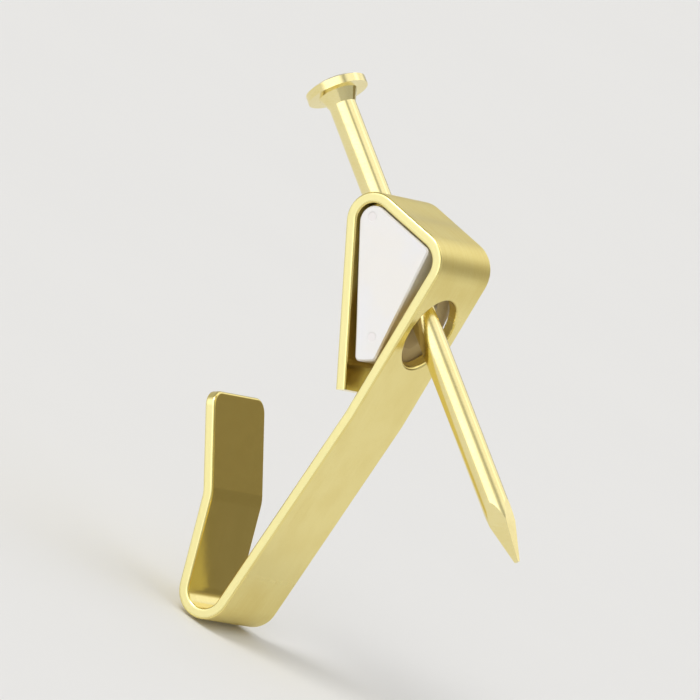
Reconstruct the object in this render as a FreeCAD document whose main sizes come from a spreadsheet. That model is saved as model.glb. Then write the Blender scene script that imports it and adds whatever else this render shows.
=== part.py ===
import FreeCAD, Part
import math
import os

import Sketcher

# Picture hook: a brass-plated steel strip folded into a loop above and a hook below, a white
# plastic wedge in the loop, and a nail that slides through the wedge at a slant.
#
# X runs across the strip, +Y points into the wall, +Z is up. The wall leg bears on the plane
# Y = 0, and the origin is where the nail's axis crosses that plane.

os.makedirs("parts", exist_ok=True)
doc = FreeCAD.newDocument("picture_hook")

# Driving dimensions, in millimetres and degrees

SIZES = {
    # strip
    "strip_width": 7.5,
    "strip_thickness": 0.8,
    "strip_edge_radius": 0.2,
    # folded loop, radii to the middle of the strip, height and depth to its front corner
    "top_height": 6.95,
    "loop_depth": 10.0,
    "top_slope": 5.0,
    "front_leg_lean": 31.0,
    "front_leg_gap": 0.9,
    "front_fold_radius": 1.7,
    "top_fold_radius": 1.9,
    # wall leg below the loop
    "crease_drop": 7.2,
    "crease_radius": 6.0,
    "crease_turn": 3.5,
    # hook, radii to the middle of the strip
    "seat_drop": 25.3,
    "hook_bend_radius": 1.75,
    "lip_lean": 22.0,
    "lip_run": 6.3,
    "lip_bend_radius": 3.0,
    "lip_flare": 15.0,
    "lip_end_run": 7.0,
    "lip_corner_radius": 1.1,
    # holes in the strip
    "wall_hole_diameter": 5.6,
    "wall_hole_roll": 0.22,
    "fold_hole_diameter": 2.6,
    # nail, its length from the tip to the top of the head
    "nail_slope": 32.0,
    "nail_length": 38.1,
    "nail_diameter": 2.0,
    "nail_stickout": 18.0,
    "head_diameter": 4.5,
    "head_rim": 0.6,
    "head_bevel": 0.22,
    "head_flare": 0.9,
    "head_flare_diameter": 2.9,
    "point_length": 4.6,
    "point_blunt": 0.3,
    # plastic wedge
    "wedge_gap": 0.15,
    "wedge_inset": 0.15,
    "wedge_relief": 1.8,
    "wedge_tilt": 5.0,
    "wedge_toe": 1.6,
    "wedge_corner_radius": 0.4,
    "wedge_chamfer": 0.12,
    "nail_clearance": 0.04,
    "funnel_diameter": 4.2,
    "funnel_depth": 3.6,
}

sheet = doc.addObject("Spreadsheet::Sheet", "sizes")
for row, (alias, value) in enumerate(SIZES.items(), start=1):
    sheet.set(f"A{row}", alias)
    sheet.set(f"B{row}", str(value))
    sheet.setAlias(f"B{row}", alias)
doc.recompute()


def size(alias):
    return float(sheet.get(alias))


# Expressions that more than one feature uses

HALF_STRIP = "sizes.strip_thickness / 2"
NAIL_RADIUS = "sizes.nail_diameter / 2"


def make_body(name):
    body = doc.addObject("PartDesign::Body", name)
    body.Label = name
    return body


def make_sketch(body, name, plane, turn=None):
    """A sketch on an origin plane of its own body, turned in that plane if turn is given."""
    sketch = body.newObject("Sketcher::SketchObject", name)
    origin_plane = [f for f in body.Origin.OriginFeatures if f.Role == plane][0]
    sketch.AttachmentSupport = [(origin_plane, "")]
    sketch.MapMode = "FlatFace"
    if turn:
        upright = FreeCAD.Vector(0, 0, 1)
        sketch.AttachmentOffset = FreeCAD.Placement(FreeCAD.Vector(), FreeCAD.Rotation(upright, 90))
        sketch.setExpression("AttachmentOffset.Rotation.Angle", turn)
    return sketch


def worth(expression):
    """The value that an expression has now."""
    value = sheet.evalExpression(expression)
    return float(getattr(value, "Value", value))


def dimension(sketch, name, kind, *geometry, to):
    """A named dimension of the sketch, driven by an expression."""
    value = math.radians(worth(to)) if kind == "Angle" else worth(to)
    index = sketch.addConstraint(Sketcher.Constraint(kind, *geometry, value))
    sketch.renameConstraint(index, name)
    sketch.setExpression(f"Constraints.{name}", to)


def outline(sketch, corners):
    """A closed outline whose corners are pairs of expressions."""
    points = [FreeCAD.Vector(worth(x), worth(y), 0) for x, y in corners]
    following = points[1:] + points[:1]
    lines = [sketch.addGeometry(Part.LineSegment(a, b), False) for a, b in zip(points, following)]
    for line, other in zip(lines, lines[1:] + lines[:1]):
        sketch.addConstraint(Sketcher.Constraint("Coincident", line, 2, other, 1))
    for number, (line, corner) in enumerate(zip(lines, corners)):
        for kind, axis, to in zip(("DistanceX", "DistanceY"), (-2, -1), corner):
            if to == "0":
                sketch.addConstraint(Sketcher.Constraint("PointOnObject", line, 1, axis))
            elif worth(to) < 0:
                dimension(sketch, f"{kind}_{number}", kind, line, 1, -1, 1, to=f"-({to})")
            else:
                dimension(sketch, f"{kind}_{number}", kind, -1, 1, line, 1, to=to)


def edges(feature, wanted):
    """Names of the feature's edges for which wanted(edge) holds."""
    numbered = enumerate(feature.Shape.Edges, start=1)
    return [f"Edge{number}" for number, edge in numbered if wanted(edge)]


class BentLine:
    """Straight runs joined by tangent arcs, drawn one after the other into a sketch."""

    def __init__(self, sketch, x, y, heading):
        self.sketch = sketch
        self.here = FreeCAD.Vector(x, y, 0)
        self.heading = math.radians(heading)
        self.last = None

    def join(self, index, start):
        if self.last:
            self.sketch.addConstraint(Sketcher.Constraint("Tangent", *self.last, index, start))
        self.last = (index, 3 - start)
        return index

    def straight(self, length):
        way = FreeCAD.Vector(math.cos(self.heading), math.sin(self.heading), 0)
        end = self.here + way * length
        index = self.sketch.addGeometry(Part.LineSegment(self.here, end), False)
        self.here = end
        return self.join(index, 1)

    def bend(self, radius, turn):
        """An arc through turn degrees, to the left if it is positive."""
        turn = math.radians(turn)
        side = math.copysign(math.pi / 2, turn)
        out = self.heading - side
        centre = self.here - FreeCAD.Vector(math.cos(out), math.sin(out), 0) * radius
        circle = Part.Circle(centre, FreeCAD.Vector(0, 0, 1), radius)
        first, last = sorted((out, out + turn))
        index = self.sketch.addGeometry(Part.ArcOfCircle(circle, first, last), False)
        self.heading += turn
        self.here = centre + FreeCAD.Vector(math.cos(out + turn), math.sin(out + turn), 0) * radius
        return self.join(index, 1 if turn > 0 else 2)


# Strip: one cross-section at the origin's height, swept up round the loop and down round the
# hook along the middle line of the sheet

strip = make_body("hook_strip")

section = make_sketch(strip, "strip_section", "XY_Plane")
HALF_WIDTH = "sizes.strip_width / 2"
outline(
    section,
    [
        (f"-{HALF_WIDTH}", "-sizes.strip_thickness"),
        (HALF_WIDTH, "-sizes.strip_thickness"),
        (HALF_WIDTH, "0"),
        (f"-{HALF_WIDTH}", "0"),
    ],
)

loop = make_sketch(strip, "loop_path", "YZ_Plane")
thickness = size("strip_thickness")
lean = size("front_leg_lean")
slope = size("top_slope")
top_bend = size("top_fold_radius")
front_bend = size("front_fold_radius")
wall_tuck = top_bend * math.tan(math.radians(90 - slope) / 2)
front_tuck = front_bend * math.tan(math.radians(90 + lean + slope) / 2)
top_reach = size("loop_depth") - thickness / 2
whole_top = top_reach / math.cos(math.radians(slope))
line = BentLine(loop, -thickness / 2, 0, 90)
wall_leg = line.straight(
    size("top_height") - top_reach * math.tan(math.radians(slope)) - wall_tuck
)
top_fold = line.bend(top_bend, 90 - slope)
top = line.straight(whole_top - wall_tuck - front_tuck)
front_fold = line.bend(front_bend, 90 + lean + slope)
front_leg = line.straight(size("loop_depth"))
corner_point = FreeCAD.Vector(-size("loop_depth"), size("top_height"), 0)
fold_corner = loop.addGeometry(Part.Point(corner_point), True)
loop.addConstraint(Sketcher.Constraint("Vertical", wall_leg))
loop.addConstraint(Sketcher.Constraint("PointOnObject", wall_leg, 1, -1))
loop.addConstraint(Sketcher.Constraint("PointOnObject", fold_corner, 1, top))
loop.addConstraint(Sketcher.Constraint("PointOnObject", fold_corner, 1, front_leg))
dimension(loop, "leg_middle", "DistanceX", wall_leg, 1, -1, 1, to=HALF_STRIP)
dimension(loop, "top_height", "DistanceY", -1, 1, fold_corner, 1, to="sizes.top_height")
dimension(loop, "depth", "DistanceX", fold_corner, 1, -1, 1, to="sizes.loop_depth")
dimension(loop, "top_fold_radius", "Radius", top_fold, to="sizes.top_fold_radius")
dimension(loop, "top_turn", "Angle", top_fold, to="(90 - sizes.top_slope) * 1 deg")
dimension(loop, "front_fold_radius", "Radius", front_fold, to="sizes.front_fold_radius")
dimension(
    loop,
    "front_turn",
    "Angle",
    front_fold,
    to="(90 + sizes.front_leg_lean + sizes.top_slope) * 1 deg",
)
dimension(
    loop,
    "leg_end",
    "DistanceX",
    front_leg,
    2,
    -1,
    1,
    to="sizes.strip_thickness * (1 + cos(sizes.front_leg_lean * 1 deg) / 2) + sizes.front_leg_gap",
)

hook = make_sketch(strip, "hook_path", "YZ_Plane")
line = BentLine(hook, -thickness / 2, 0, -90)
leg_above = line.straight(size("crease_drop"))
crease = line.bend(size("crease_radius"), -size("crease_turn"))
leg_below = line.straight(size("seat_drop") - size("crease_drop"))
hook_bend = line.bend(size("hook_bend_radius"), size("lip_lean") - 180)
lip = line.straight(size("lip_run"))
lip_bend = line.bend(size("lip_bend_radius"), size("lip_flare"))
lip_end = line.straight(size("lip_end_run"))
hook.addConstraint(Sketcher.Constraint("Vertical", leg_above))
hook.addConstraint(Sketcher.Constraint("PointOnObject", leg_above, 1, -1))
dimension(hook, "leg_middle", "DistanceX", leg_above, 1, -1, 1, to=HALF_STRIP)
dimension(hook, "crease_drop", "DistanceY", leg_above, 2, -1, 1, to="sizes.crease_drop")
dimension(hook, "crease_radius", "Radius", crease, to="sizes.crease_radius")
dimension(hook, "crease_turn", "Angle", crease, to="sizes.crease_turn * 1 deg")
dimension(hook, "bend_radius", "Radius", hook_bend, to="sizes.hook_bend_radius")
dimension(hook, "bend_turn", "Angle", hook_bend, to="(180 - sizes.lip_lean) * 1 deg")
dimension(
    hook,
    "seat_drop",
    "DistanceY",
    hook_bend,
    3,
    -1,
    1,
    to="sizes.seat_drop - sizes.hook_bend_radius + sizes.strip_thickness / 2",
)
dimension(hook, "lip_run", "Distance", lip, to="sizes.lip_run")
dimension(hook, "lip_bend_radius", "Radius", lip_bend, to="sizes.lip_bend_radius")
dimension(hook, "lip_flare", "Angle", lip_bend, to="sizes.lip_flare * 1 deg")
dimension(hook, "lip_end_run", "Distance", lip_end, to="sizes.lip_end_run")
doc.recompute()

for path in (loop, hook):
    sweep = strip.newObject("PartDesign::AdditivePipe", path.Name.replace("path", "sweep"))
    sweep.Profile = section
    sweep.Spine = path
    doc.recompute()

wall_hole = make_sketch(strip, "wall_hole_circle", "XZ_Plane")
circle = wall_hole.addGeometry(
    Part.Circle(FreeCAD.Vector(), FreeCAD.Vector(0, 0, 1), size("wall_hole_diameter") / 2), False
)
wall_hole.addConstraint(Sketcher.Constraint("Coincident", circle, 3, -1, 1))
dimension(wall_hole, "diameter", "Diameter", circle, to="sizes.wall_hole_diameter")
punch = strip.newObject("PartDesign::Pocket", "wall_hole")
punch.Profile = wall_hole
punch.Reversed = True
punch.setExpression("Length", "sizes.strip_thickness * 2")
doc.recompute()


def nail_way(body, name, corners):
    """A round hole along the nail's axis, from its half profile: along the axis, out from it."""
    profile = make_sketch(body, f"{name}_profile", "YZ_Plane", turn="(180 - sizes.nail_slope) * 1 deg")
    outline(profile, corners)
    groove = body.newObject("PartDesign::Groove", name)
    groove.Profile = profile
    groove.ReferenceAxis = (profile, ["H_Axis"])
    groove.Angle = 360
    doc.recompute()


FOLD_HOLE_RADIUS = "sizes.fold_hole_diameter / 2"
nail_way(
    strip,
    "fold_hole",
    [
        ("sizes.loop_depth / 2", "0"),
        ("sizes.loop_depth / 2", FOLD_HOLE_RADIUS),
        ("sizes.loop_depth * 2", FOLD_HOLE_RADIUS),
        ("sizes.loop_depth * 2", "0"),
    ],
)

lip_tip = hook.Shape.Vertexes[-1].Point


def at_lip_end(edge):
    middle = edge.CenterOfMass
    return math.hypot(middle.y - lip_tip.y, middle.z - lip_tip.z) < thickness


def runs_across(edge):
    return edge.BoundBox.XLength > 0.001


fold_hole = strip.Tip
corners = edges(fold_hole, lambda edge: at_lip_end(edge) and not runs_across(edge))
lip_corners = strip.newObject("PartDesign::Fillet", "lip_corners")
lip_corners.Base = (fold_hole, corners)
lip_corners.setExpression("Radius", "sizes.lip_corner_radius")
doc.recompute()


def straight_at_lip_end(edge):
    straight = edge.Curve.TypeId == "Part::GeomLine"
    return straight and at_lip_end(edge) and runs_across(edge)


# The rim is one smooth line on each side of the sheet, so an edge of the lip's end rounds it all
strip_rim = strip.newObject("PartDesign::Fillet", "strip_rim")
strip_rim.Base = (lip_corners, edges(lip_corners, straight_at_lip_end))
strip_rim.setExpression("Radius", "sizes.strip_edge_radius")
doc.recompute()


def on_wall_round_hole(edge):
    box = edge.BoundBox
    on_wall = abs(box.YMin) < 0.001 and abs(box.YMax) < 0.001
    return on_wall and edge.Curve.TypeId == "Part::GeomCircle"


hole_roll = strip.newObject("PartDesign::Fillet", "wall_hole_roll")
hole_roll.Base = (strip_rim, edges(strip_rim, on_wall_round_hole))
hole_roll.setExpression("Radius", "sizes.wall_hole_roll")
doc.recompute()

# Wedge: sits in the loop with a little play. Its top follows the strip's top, its back leans away
# from the wall leg, and its toe is square to its front

wedge = make_body("nail_insert")
LEAN = "(sizes.front_leg_lean * 1 deg)"
SLOPE = "(sizes.top_slope * 1 deg)"
TILT = "(sizes.wedge_tilt * 1 deg)"
WEDGE_LEAN = "((sizes.front_leg_lean + sizes.wedge_relief) * 1 deg)"
INSIDE = f"((sizes.strip_thickness / 2 + sizes.wedge_gap) / cos({LEAN} + {SLOPE}))"
NOSE = f"(sizes.loop_depth - {INSIDE} * (cos{SLOPE} + sin{LEAN}))"
TOP = f"(sizes.top_height - {INSIDE} * (sin{SLOPE} + cos{LEAN}))"
HEEL = "(sizes.strip_thickness + sizes.wedge_gap)"
HEEL_DROP = f"((({NOSE} - {HEEL}) * cos{WEDGE_LEAN} - sizes.wedge_toe) / sin{WEDGE_LEAN})"
TOE_DROP = f"({HEEL_DROP} + sizes.wedge_toe * sin{WEDGE_LEAN})"
TOP_FALL = f"(({NOSE} - {HEEL}) * tan{SLOPE})"
BACK_RISE = f"(({HEEL_DROP} - {TOP_FALL}) / (1 - tan{TILT} * tan{SLOPE}))"

side_view = make_sketch(wedge, "wedge_outline", "YZ_Plane")
outline(
    side_view,
    [
        (f"-({HEEL} + {BACK_RISE} * tan{TILT})", f"{TOP} - {HEEL_DROP} + {BACK_RISE}"),
        (f"-{NOSE}", TOP),
        (f"-({HEEL} + sizes.wedge_toe * cos{WEDGE_LEAN})", f"{TOP} - {TOE_DROP}"),
        (f"-{HEEL}", f"{TOP} - {HEEL_DROP}"),
    ],
)
block = wedge.newObject("PartDesign::Pad", "wedge_block")
block.Profile = side_view
block.Midplane = True
block.setExpression("Length", "sizes.strip_width - 2 * sizes.wedge_inset")
doc.recompute()

nose = worth(f"-{NOSE}")
side = worth("sizes.strip_width / 2 - sizes.wedge_inset")


def at_nose(edge):
    return runs_across(edge) and abs(edge.CenterOfMass.y - nose) < 0.001


def at_side(edge):
    return not runs_across(edge) and abs(abs(edge.CenterOfMass.x) - side) < 0.001


nose_round = wedge.newObject("PartDesign::Fillet", "nose_round")
nose_round.Base = (block, edges(block, at_nose))
nose_round.setExpression(
    "Radius", "sizes.front_fold_radius - sizes.strip_thickness / 2 - sizes.wedge_gap"
)
doc.recompute()
rear = edges(nose_round, lambda edge: runs_across(edge) and edge.CenterOfMass.y > nose / 2)
rear_round = wedge.newObject("PartDesign::Fillet", "rear_round")
rear_round.Base = (nose_round, rear)
rear_round.setExpression("Radius", "sizes.wedge_corner_radius")
doc.recompute()
side_rims = wedge.newObject("PartDesign::Chamfer", "side_rims")
side_rims.Base = (rear_round, edges(rear_round, at_side))
side_rims.setExpression("Size", "sizes.wedge_chamfer")
doc.recompute()

BORE_RADIUS = f"{NAIL_RADIUS} + sizes.nail_clearance"
FUNNEL_RADIUS = "sizes.funnel_diameter / 2"
nail_way(
    wedge,
    "nail_bore",
    [
        ("-sizes.funnel_diameter", "0"),
        ("-sizes.funnel_diameter", FUNNEL_RADIUS),
        ("0", FUNNEL_RADIUS),
        ("sizes.funnel_depth", BORE_RADIUS),
        ("sizes.loop_depth * 2", BORE_RADIUS),
        ("sizes.loop_depth * 2", "0"),
    ],
)

# Nail: turned about its own Z axis with the tip at zero, then laid along the slope

nail = make_body("nail")
HEAD_RADIUS = "sizes.head_diameter / 2"
HEAD_UNDERSIDE = "sizes.nail_length - sizes.head_rim - sizes.head_bevel"
half_view = make_sketch(nail, "nail_profile", "XZ_Plane")
outline(
    half_view,
    [
        ("0", "0"),
        (NAIL_RADIUS, "0"),
        (NAIL_RADIUS, f"{HEAD_UNDERSIDE} - sizes.head_flare"),
        ("sizes.head_flare_diameter / 2", HEAD_UNDERSIDE),
        (HEAD_RADIUS, HEAD_UNDERSIDE),
        (HEAD_RADIUS, "sizes.nail_length - sizes.head_bevel"),
        (f"{HEAD_RADIUS} - 2 * sizes.head_bevel", "sizes.nail_length"),
        ("0", "sizes.nail_length"),
    ],
)
blank = nail.newObject("PartDesign::Revolution", "nail_blank")
blank.Profile = half_view
blank.ReferenceAxis = (half_view, ["V_Axis"])
blank.Angle = 360
doc.recompute()

TIP_HALF = "sizes.point_blunt / 2"
CUT_HEIGHT = f"sizes.point_length * (sizes.nail_diameter - {TIP_HALF}) / ({NAIL_RADIUS} - {TIP_HALF})"
flat_view = make_sketch(nail, "point_profile", "XZ_Plane")
outline(
    flat_view,
    [(TIP_HALF, "0"), ("sizes.nail_diameter", CUT_HEIGHT), ("sizes.nail_diameter", "0")],
)
flat = nail.newObject("PartDesign::Pocket", "point_flat")
flat.Profile = flat_view
flat.Midplane = True
flat.setExpression("Length", "sizes.nail_diameter * 2")
doc.recompute()
point = nail.newObject("PartDesign::PolarPattern", "point_flats")
point.Originals = [flat]
point.Axis = (half_view, ["V_Axis"])
point.Angle = 360
point.Occurrences = 4
nail.Tip = point

nail.Placement = FreeCAD.Placement(
    FreeCAD.Vector(), FreeCAD.Rotation(FreeCAD.Vector(1, 0, 0), 90)
)
nail.setExpression("Placement.Rotation.Angle", "(90 - sizes.nail_slope) * 1 deg")
nail.setExpression("Placement.Base.y", "sizes.nail_stickout * cos(sizes.nail_slope * 1 deg)")
nail.setExpression("Placement.Base.z", "-sizes.nail_stickout * sin(sizes.nail_slope * 1 deg)")
doc.recompute()

# Checks, then one file for each piece

for item in doc.Objects:
    if "Invalid" in item.State or "Error" in item.State:
        raise RuntimeError(f"{item.Label} did not compute: {item.State}")

for body in (strip, wedge, nail):
    if body.Shape.isNull() or not body.Shape.isValid() or len(body.Shape.Solids) != 1:
        raise RuntimeError(f"{body.Label} is not one sound solid")
    box = body.Shape.BoundBox
    print(
        f"{body.Label}: {body.Shape.Volume:.2f} mm3,"
        f" X {box.XMin:.2f}..{box.XMax:.2f},"
        f" Y {box.YMin:.2f}..{box.YMax:.2f},"
        f" Z {box.ZMin:.2f}..{box.ZMax:.2f}"
    )

for body in (strip, wedge, nail):
    body.Shape.exportStep(f"parts/{body.Label}.step")
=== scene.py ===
import math

import bpy
from mathutils import Matrix, Vector


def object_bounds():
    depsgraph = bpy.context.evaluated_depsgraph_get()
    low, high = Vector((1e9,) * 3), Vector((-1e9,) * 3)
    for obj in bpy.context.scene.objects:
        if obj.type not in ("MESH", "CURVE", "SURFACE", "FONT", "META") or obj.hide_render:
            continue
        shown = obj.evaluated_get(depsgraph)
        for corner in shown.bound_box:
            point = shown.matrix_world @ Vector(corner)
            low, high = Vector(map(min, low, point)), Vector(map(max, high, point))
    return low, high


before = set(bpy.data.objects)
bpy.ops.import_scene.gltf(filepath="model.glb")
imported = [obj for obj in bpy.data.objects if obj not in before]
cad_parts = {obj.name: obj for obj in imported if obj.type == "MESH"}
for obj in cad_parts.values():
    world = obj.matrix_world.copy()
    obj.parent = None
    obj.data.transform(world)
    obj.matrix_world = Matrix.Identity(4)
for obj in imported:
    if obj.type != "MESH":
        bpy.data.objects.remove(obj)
cad_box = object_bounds()

MM = 0.001

ACROSS = (1.0, 0.0, 0.0)
UP = (0.0, 0.0, 1.0)
NO_X = (0.0, 1.0, 1.0)
NO_Z = (1.0, 1.0, 0.0)

# Nail's slope
NAIL_SLOPE = math.radians(32.0)

# Plating's colours, pale and deep, and the paler colour of its sheared edges, a painted highlight
STRIP_COLOURS = ((0.915, 0.79, 0.32), (0.82, 0.665, 0.22))
NAIL_COLOURS = ((0.93, 0.83, 0.43), (0.85, 0.71, 0.29))
SHEARED_HIGHLIGHT_COLOUR = (0.965, 0.905, 0.47)
SHEARED_HIGHLIGHT_SHARE = 0.75

# Plating's lines, folds' creases and shear's tracks: noise scales along X, Y and Z, per millimetre
STRIP_LINES = (14.0, 0.22, 0.22)
NAIL_LINES = (14.0, 14.0, 0.25)
CREASES = (1.2, 7.0, 7.0)
TRACKS = (0.5, 9.0, 9.0)

# Plating's other noise scales, per millimetre
PLATING_CLOUDS = 0.30
PLATING_SPECKLE = 9.0
PLATING_RIPPLE = 0.7

# Depths of the plating's bumps
RIPPLE_DEPTH = 0.010 * MM
LINE_DEPTH = 0.0040 * MM
CREASE_DEPTH = 0.0025 * MM
TRACK_DEPTH = 0.008 * MM

# Outer surfaces of the strip's tight folds, as Y, Z and radius in millimetres
FOLDS = ((-2.30, 4.37, 2.30), (-6.82, 4.97, 2.10), (-3.17, -23.95, 2.15))

# How far outside a fold its dull zone starts to fade and has faded out, in millimetres
DULL_FROM = 0.05
DULL_TO = 2.20

# What the dull folds and the sheared edges add to the plating's roughness
DULL_FOLD = 0.30
DULL_EDGE = 0.26

# Plastic's colours, and its index of refraction
PLASTIC_COOL = (0.745, 0.742, 0.756)
PLASTIC_WARM = (0.762, 0.744, 0.716)
PLASTIC_SPECK = (0.66, 0.645, 0.62)
PLASTIC_IOR = 1.49

# Plastic's noise scales, per millimetre, and the depths of its bumps
PLASTIC_CLOUDS = 0.22
PLASTIC_GRAIN = 22.0
PLASTIC_SINK = 0.5
GRAIN_DEPTH = 0.004 * MM
SINK_DEPTH = 0.03 * MM

# Plastic painted warm brown round the nail, a painted shade with the brass's bounce light in it:
# the insert's funnel, and how far outside it the brown starts to fade and has faded out, in
# millimetres
BORE_SHADE_COLOUR = (0.52, 0.39, 0.165)
BORE_SHADE_SHARE = 0.92
BORE_SHADE_DULL = 0.25
FUNNEL_RADIUS = 2.1
BORE_SHADE_FROM = 1.5
BORE_SHADE_TO = 2.9
BORE_SHADE_NOISE = (2.0, 0.8, 0.8)
BORE_SHADE_NOISE_REACH = 0.8

# Ejector marks on the wedge's two sides: Y and Z, radius and border in millimetres
EJECTOR_MARKS = ((-7.0, 5.2), (-2.1, -1.9))
EJECTOR_RADIUS = 0.35
EJECTOR_BORDER = 0.05
EJECTOR_COLOUR = (0.72, 0.66, 0.67)
EJECTOR_SHARE = 0.35
EJECTOR_DEPTH = 0.03 * MM

# Camera: the photograph's viewing angle, as the image's right and up and the way to the viewer
IMAGE_RIGHT = Vector((-0.4825, 0.7166, 0.5037))
IMAGE_UP = Vector((0.0942, -0.5292, 0.8432))
TO_VIEWER = Vector((0.8710, 0.4540, 0.1880))
LOOK_AT = Vector((1.18, -4.15, -4.10)) * MM
FRAME_WIDTH = 50 * MM
LENS = 800.0
SENSOR = 36.0
NEAREST = 0.01
FARTHEST = 20.0

# Floor
FLOOR_COLOUR = (0.76, 0.755, 0.745)
FLOOR_PALER = 1.02
FLOOR_MOTTLE = 40.0
FLOOR_GAP = 0.2 * MM
FLOOR_RADIUS = 3.0
FLOOR_CORNERS = 96

# World's level low down and high up, and its colours outside and inside the shade
LEVEL_HEIGHTS = (0.30, 0.80)
LEVELS = (0.55, 0.40)
DAYLIGHT = (1.0, 0.995, 0.985)
SHADE_COLOUR = (1.0, 0.84, 0.50)
SHADE_STRENGTH = 0.60

# Soft lights in the world: each one's direction, the cosines where it starts and is full,
# and its strength
KEY_LIGHT = (Vector((0.911, -0.202, 0.365)), 0.62, 0.90, 1.12)
TOP_LIGHT = (Vector((-0.15, 0.20, 0.95)), 0.84, 0.96, 0.70)
FILL_LIGHT = (Vector((-0.72, 0.06, 0.69)), 0.86, 0.96, 0.60)
SHADE = (Vector((-0.875, 0.402, 0.270)), 0.945, 0.985, 1.0)

# Lamp
LAMP_DIRECTION = Vector((0.55, -0.25, 0.80))
LAMP_STRENGTH = 0.9
LAMP_ANGLE = math.radians(25)


class Nodes:
    """Builds a node tree with short calls."""

    def __init__(self, tree):
        self.tree = tree
        tree.nodes.clear()

    def add(self, kind, inputs=None, **settings):
        node = self.tree.nodes.new(kind)
        for name, value in settings.items():
            setattr(node, name, value)
        for name, value in (inputs or {}).items():
            self.put(node.inputs[name], value)
        return node

    def put(self, socket, value):
        if isinstance(value, bpy.types.NodeSocket):
            self.tree.links.new(value, socket)
        else:
            socket.default_value = value

    def math(self, operation, *values, clamp=False):
        node = self.add("ShaderNodeMath", operation=operation, use_clamp=clamp)
        for socket, value in zip(node.inputs, values):
            self.put(socket, value)
        return node.outputs[0]

    def vector(self, operation, *values):
        node = self.add("ShaderNodeVectorMath", operation=operation)
        for socket, value in zip(node.inputs, values):
            self.put(socket, value)
        scalar = operation in ("DOT_PRODUCT", "LENGTH", "DISTANCE")
        return node.outputs["Value" if scalar else "Vector"]

    def span(self, value, low, high, to_low=0.0, to_high=1.0):
        """The value's way from low to high, as a number from to_low to to_high."""
        inputs = {
            "Value": value,
            "From Min": low,
            "From Max": high,
            "To Min": to_low,
            "To Max": to_high,
        }
        return self.add("ShaderNodeMapRange", inputs, interpolation_type="SMOOTHSTEP").outputs[0]

    def noise(self, vector, scale, detail=3.0, roughness=0.5):
        inputs = {"Vector": vector, "Scale": scale, "Detail": detail, "Roughness": roughness}
        return self.add("ShaderNodeTexNoise", inputs).outputs[0]

    def mix(self, factor, first, second):
        node = self.add("ShaderNodeMix", data_type="RGBA")
        for index, value in ((0, factor), (6, first), (7, second)):
            if isinstance(value, tuple):
                value = (*value, 1.0)
            self.put(node.inputs[index], value)
        return node.outputs[2]

    def bump(self, height, distance, normal=None):
        inputs = {"Height": height, "Distance": distance, "Strength": 1.0}
        if normal:
            inputs["Normal"] = normal
        return self.add("ShaderNodeBump", inputs).outputs[0]


def new_material(name):
    material = bpy.data.materials.new(name)
    material.use_nodes = True
    nodes = Nodes(material.node_tree)
    shader = nodes.add("ShaderNodeBsdfPrincipled")
    nodes.add("ShaderNodeOutputMaterial", {"Surface": shader.outputs[0]})
    return material, nodes, shader


def in_millimetres(nodes):
    """The piece's own coordinates, in millimetres."""
    place = nodes.add("ShaderNodeTexCoord").outputs["Object"]
    return nodes.add("ShaderNodeMapping", {"Vector": place, "Scale": (1 / MM,) * 3}).outputs[0]


def along_nail(nodes, place):
    """The place turned so that its Z runs along the nail."""
    inputs = {"Vector": place, "Angle": math.pi / 2 - NAIL_SLOPE}
    return nodes.add("ShaderNodeVectorRotate", inputs, rotation_type="X_AXIS").outputs[0]


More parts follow.
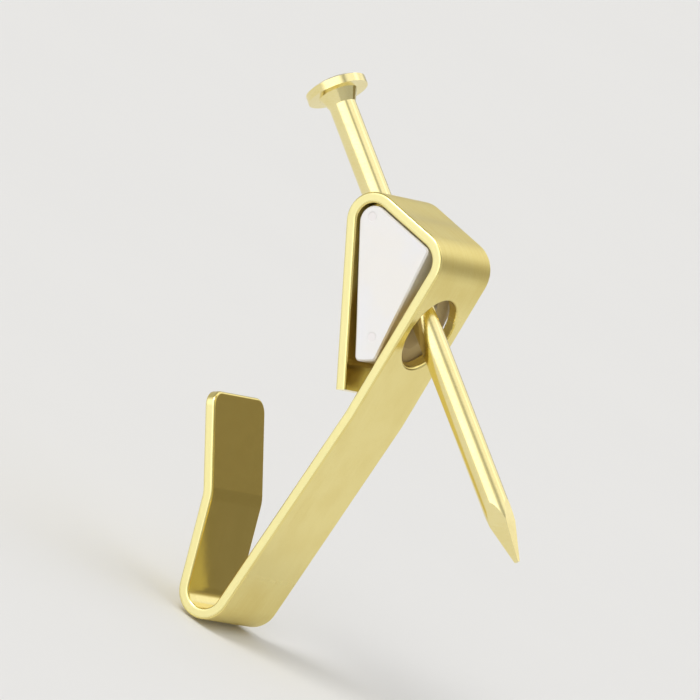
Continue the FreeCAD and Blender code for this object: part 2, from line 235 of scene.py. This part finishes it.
def plated(name, colours, lines, on_nail):
    """Bright brass plating with fine lines along the way it was rolled or drawn.

    The nail's lines run along it. The strip has dull folds and sheared edges painted paler, a
    painted highlight.
    """
    material, nodes, shader = new_material(name)
    place = in_millimetres(nodes)
    if on_nail:
        place = along_nail(nodes, place)

    grain = nodes.noise(nodes.vector("MULTIPLY", place, lines), 1.0, detail=4.0, roughness=0.6)
    clouds = nodes.noise(place, PLATING_CLOUDS)
    speckle = nodes.noise(place, PLATING_SPECKLE, detail=4.0, roughness=0.65)
    ripple = nodes.noise(place, PLATING_RIPPLE, detail=2.0, roughness=0.4)

    cloudy = nodes.span(clouds, 0.38, 0.66, 0.0, 0.30)
    tone = nodes.math("ADD", cloudy, nodes.span(speckle, 0.3, 0.75, 0.0, 0.25))
    tone = nodes.math("ADD", tone, nodes.span(grain, 0.35, 0.7, -0.08, 0.22), clamp=True)
    colour = nodes.mix(tone, *colours)
    cloudy = nodes.span(clouds, 0.3, 0.7, 0.11, 0.15)
    roughness = nodes.math("ADD", cloudy, nodes.span(grain, 0.35, 0.7, 0.0, 0.06))
    roughness = nodes.math("ADD", roughness, nodes.span(speckle, 0.58, 0.8, 0.0, 0.12))
    height = nodes.math("MULTIPLY_ADD", grain, 0.35, nodes.math("MULTIPLY", speckle, 0.25))
    normal = nodes.bump(ripple, RIPPLE_DEPTH)
    normal = nodes.bump(height, LINE_DEPTH, normal)

    if not on_nail:
        facing = nodes.add("ShaderNodeNewGeometry").outputs["True Normal"]

        # Metal drawn dull where a fold stretches it
        flat_place = nodes.vector("MULTIPLY", place, NO_X)
        stretched = 0.0
        for y, z, radius in FOLDS:
            away = nodes.vector("SUBTRACT", flat_place, (0.0, y, z))
            distance = nodes.vector("LENGTH", away)
            near = nodes.span(distance, radius + DULL_TO, radius + DULL_FROM)
            outwards = nodes.vector("DOT_PRODUCT", facing, away)
            outside = nodes.span(outwards, radius - 0.30, radius - 0.10)
            stretched = nodes.math("MAXIMUM", nodes.math("MULTIPLY", near, outside), stretched)
        creases = nodes.noise(nodes.vector("MULTIPLY", place, CREASES), 1.0, roughness=0.7)
        roughness = nodes.math("MULTIPLY_ADD", stretched, DULL_FOLD, roughness)
        normal = nodes.bump(nodes.math("MULTIPLY", creases, stretched), CREASE_DEPTH, normal)

        # Sheared edges: rougher and tracked, and painted paler as a painted highlight
        sideways = nodes.math("ABSOLUTE", nodes.vector("DOT_PRODUCT", facing, ACROSS))
        rim = nodes.span(sideways, 0.80, 0.98)
        tracks = nodes.noise(nodes.vector("MULTIPLY", place, TRACKS), 1.0, roughness=0.6)
        roughness = nodes.math("MULTIPLY_ADD", rim, DULL_EDGE, roughness)
        colour = nodes.mix(nodes.math("MULTIPLY", rim, SHEARED_HIGHLIGHT_SHARE), colour, SHEARED_HIGHLIGHT_COLOUR)
        normal = nodes.bump(nodes.math("MULTIPLY", tracks, rim), TRACK_DEPTH, normal)

    nodes.put(shader.inputs["Base Color"], colour)
    nodes.put(shader.inputs["Roughness"], roughness)
    nodes.put(shader.inputs["Normal"], normal)
    shader.inputs["Metallic"].default_value = 1.0
    return material


def moulded_plastic(name):
    """Off-white moulded plastic, satin and a little translucent, with painted brown shade round
    the nail.
    """
    material, nodes, shader = new_material(name)
    place = in_millimetres(nodes)
    clouds = nodes.noise(place, PLASTIC_CLOUDS)
    grain = nodes.noise(place, PLASTIC_GRAIN, roughness=0.6)
    sink = nodes.noise(place, PLASTIC_SINK, detail=2.0)
    tint = nodes.mix(nodes.span(clouds, 0.35, 0.65), PLASTIC_COOL, PLASTIC_WARM)
    colour = nodes.mix(nodes.span(grain, 0.55, 0.8, 0.0, 0.10), tint, PLASTIC_SPECK)

    # Bore and back painted warm brown inside the loop, a painted shade with the brass's bounce
    # light, but not the wedge's two sides
    turned = nodes.vector("MULTIPLY", along_nail(nodes, place), NO_Z)
    ragged_edge = nodes.noise(nodes.vector("MULTIPLY", place, BORE_SHADE_NOISE), 1.0)
    away = nodes.math("MULTIPLY_ADD", ragged_edge, BORE_SHADE_NOISE_REACH, nodes.vector("LENGTH", turned))
    facing = nodes.add("ShaderNodeNewGeometry").outputs["True Normal"]
    sideways = nodes.math("ABSOLUTE", nodes.vector("DOT_PRODUCT", facing, ACROSS))
    faded, full = FUNNEL_RADIUS + BORE_SHADE_TO, FUNNEL_RADIUS + BORE_SHADE_FROM
    bore_shade = nodes.span(away, faded, full, 0.0, BORE_SHADE_SHARE)
    bore_shade = nodes.math("MULTIPLY", bore_shade, nodes.span(sideways, 0.95, 0.80))
    colour = nodes.mix(bore_shade, colour, BORE_SHADE_COLOUR)

    # Ejector marks
    flat_place = nodes.vector("MULTIPLY", place, NO_X)
    marks = 0.0
    for y, z in EJECTOR_MARKS:
        away = nodes.vector("DISTANCE", flat_place, (0.0, y, z))
        disc = nodes.span(away, EJECTOR_RADIUS + EJECTOR_BORDER, EJECTOR_RADIUS - EJECTOR_BORDER)
        marks = nodes.math("ADD", disc, marks)
    colour = nodes.mix(nodes.math("MULTIPLY", marks, EJECTOR_SHARE), colour, EJECTOR_COLOUR)

    grainy = nodes.span(grain, 0.3, 0.7, 0.36, 0.46)
    roughness = nodes.math("ADD", grainy, nodes.span(clouds, 0.3, 0.7, 0.0, 0.06))
    # Duller where the painted shade lies round the nail
    roughness = nodes.math("MULTIPLY_ADD", bore_shade, BORE_SHADE_DULL, roughness)
    normal = nodes.bump(sink, SINK_DEPTH)
    normal = nodes.bump(grain, GRAIN_DEPTH, normal)
    normal = nodes.bump(nodes.math("SUBTRACT", 0.0, marks), EJECTOR_DEPTH, normal)

    nodes.put(shader.inputs["Base Color"], colour)
    nodes.put(shader.inputs["Roughness"], roughness)
    nodes.put(shader.inputs["Normal"], normal)
    shader.inputs["IOR"].default_value = PLASTIC_IOR
    shader.inputs["Subsurface Weight"].default_value = 0.12
    shader.inputs["Subsurface Radius"].default_value = (1.0, 0.9, 0.8)
    shader.inputs["Subsurface Scale"].default_value = 0.6 * MM
    return material


def patch(nodes, way, direction, start, full, strength):
    """A round patch in the world: 0 outside it and strength in its middle."""
    cosine = nodes.vector("DOT_PRODUCT", way, tuple(direction.normalized()))
    return nodes.span(cosine, start, full, 0.0, strength)


def dress(node, material):
    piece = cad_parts[node]
    piece.data.materials.clear()
    piece.data.materials.append(material)


strip_plating = plated("plated_strip", STRIP_COLOURS, STRIP_LINES, on_nail=False)
nail_plating = plated("plated_nail", NAIL_COLOURS, NAIL_LINES, on_nail=True)
dress("hook_strip", strip_plating)
dress("nail_insert", moulded_plastic("white_plastic"))
dress("nail", nail_plating)

# Camera
camera = bpy.data.objects.new("camera", bpy.data.cameras.new("camera"))
bpy.context.scene.collection.objects.link(camera)
camera.data.lens = LENS
camera.data.sensor_width = SENSOR
camera.data.clip_start = NEAREST
camera.data.clip_end = FARTHEST
turn = Matrix((IMAGE_RIGHT, IMAGE_UP, TO_VIEWER)).transposed()
viewer = LOOK_AT + TO_VIEWER * FRAME_WIDTH * LENS / SENSOR
camera.matrix_world = Matrix.Translation(viewer) @ turn.to_4x4()
bpy.context.scene.camera = camera

# Floor
lowest = cad_box[0].z - FLOOR_GAP
bpy.ops.mesh.primitive_circle_add(
    vertices=FLOOR_CORNERS,
    radius=FLOOR_RADIUS,
    fill_type="NGON",
    location=(0, 0, lowest),
)
floor = bpy.context.object
floor.name = "floor"
material, nodes, shader = new_material("pale_floor")
place = nodes.add("ShaderNodeTexCoord").outputs["Object"]
mottle = nodes.noise(place, FLOOR_MOTTLE, detail=2.0)
paler = tuple(channel * FLOOR_PALER for channel in FLOOR_COLOUR)
nodes.put(shader.inputs["Base Color"], nodes.mix(mottle, FLOOR_COLOUR, paler))
shader.inputs["Roughness"].default_value = 0.9
shader.inputs["Specular IOR Level"].default_value = 0.1
floor.data.materials.append(material)

# World: a level that is dimmer high up, three soft lights and a warm shade
world = bpy.data.worlds.new("studio")
bpy.context.scene.world = world
world.use_nodes = True
nodes = Nodes(world.node_tree)
way = nodes.add("ShaderNodeTexCoord").outputs["Generated"]
height = nodes.vector("DOT_PRODUCT", way, UP)
level = nodes.span(height, *LEVEL_HEIGHTS, *LEVELS)
for light in (KEY_LIGHT, TOP_LIGHT, FILL_LIGHT):
    level = nodes.math("ADD", level, patch(nodes, way, *light))
shade = patch(nodes, way, *SHADE)
level = nodes.math("MULTIPLY", level, nodes.math("MULTIPLY_ADD", shade, -SHADE_STRENGTH, 1.0))
tint = nodes.mix(shade, DAYLIGHT, SHADE_COLOUR)
shine = nodes.add("ShaderNodeBackground", {"Color": tint, "Strength": level})
nodes.add("ShaderNodeOutputWorld", {"Surface": shine.outputs[0]})

# Lamp
lamp = bpy.data.objects.new("key", bpy.data.lights.new("key", "SUN"))
bpy.context.scene.collection.objects.link(lamp)
lamp.data.energy = LAMP_STRENGTH
lamp.data.angle = LAMP_ANGLE
lamp.rotation_mode = "QUATERNION"
lamp.rotation_quaternion = LAMP_DIRECTION.to_track_quat("Z", "Y")

bpy.context.scene.view_settings.view_transform = "Standard"
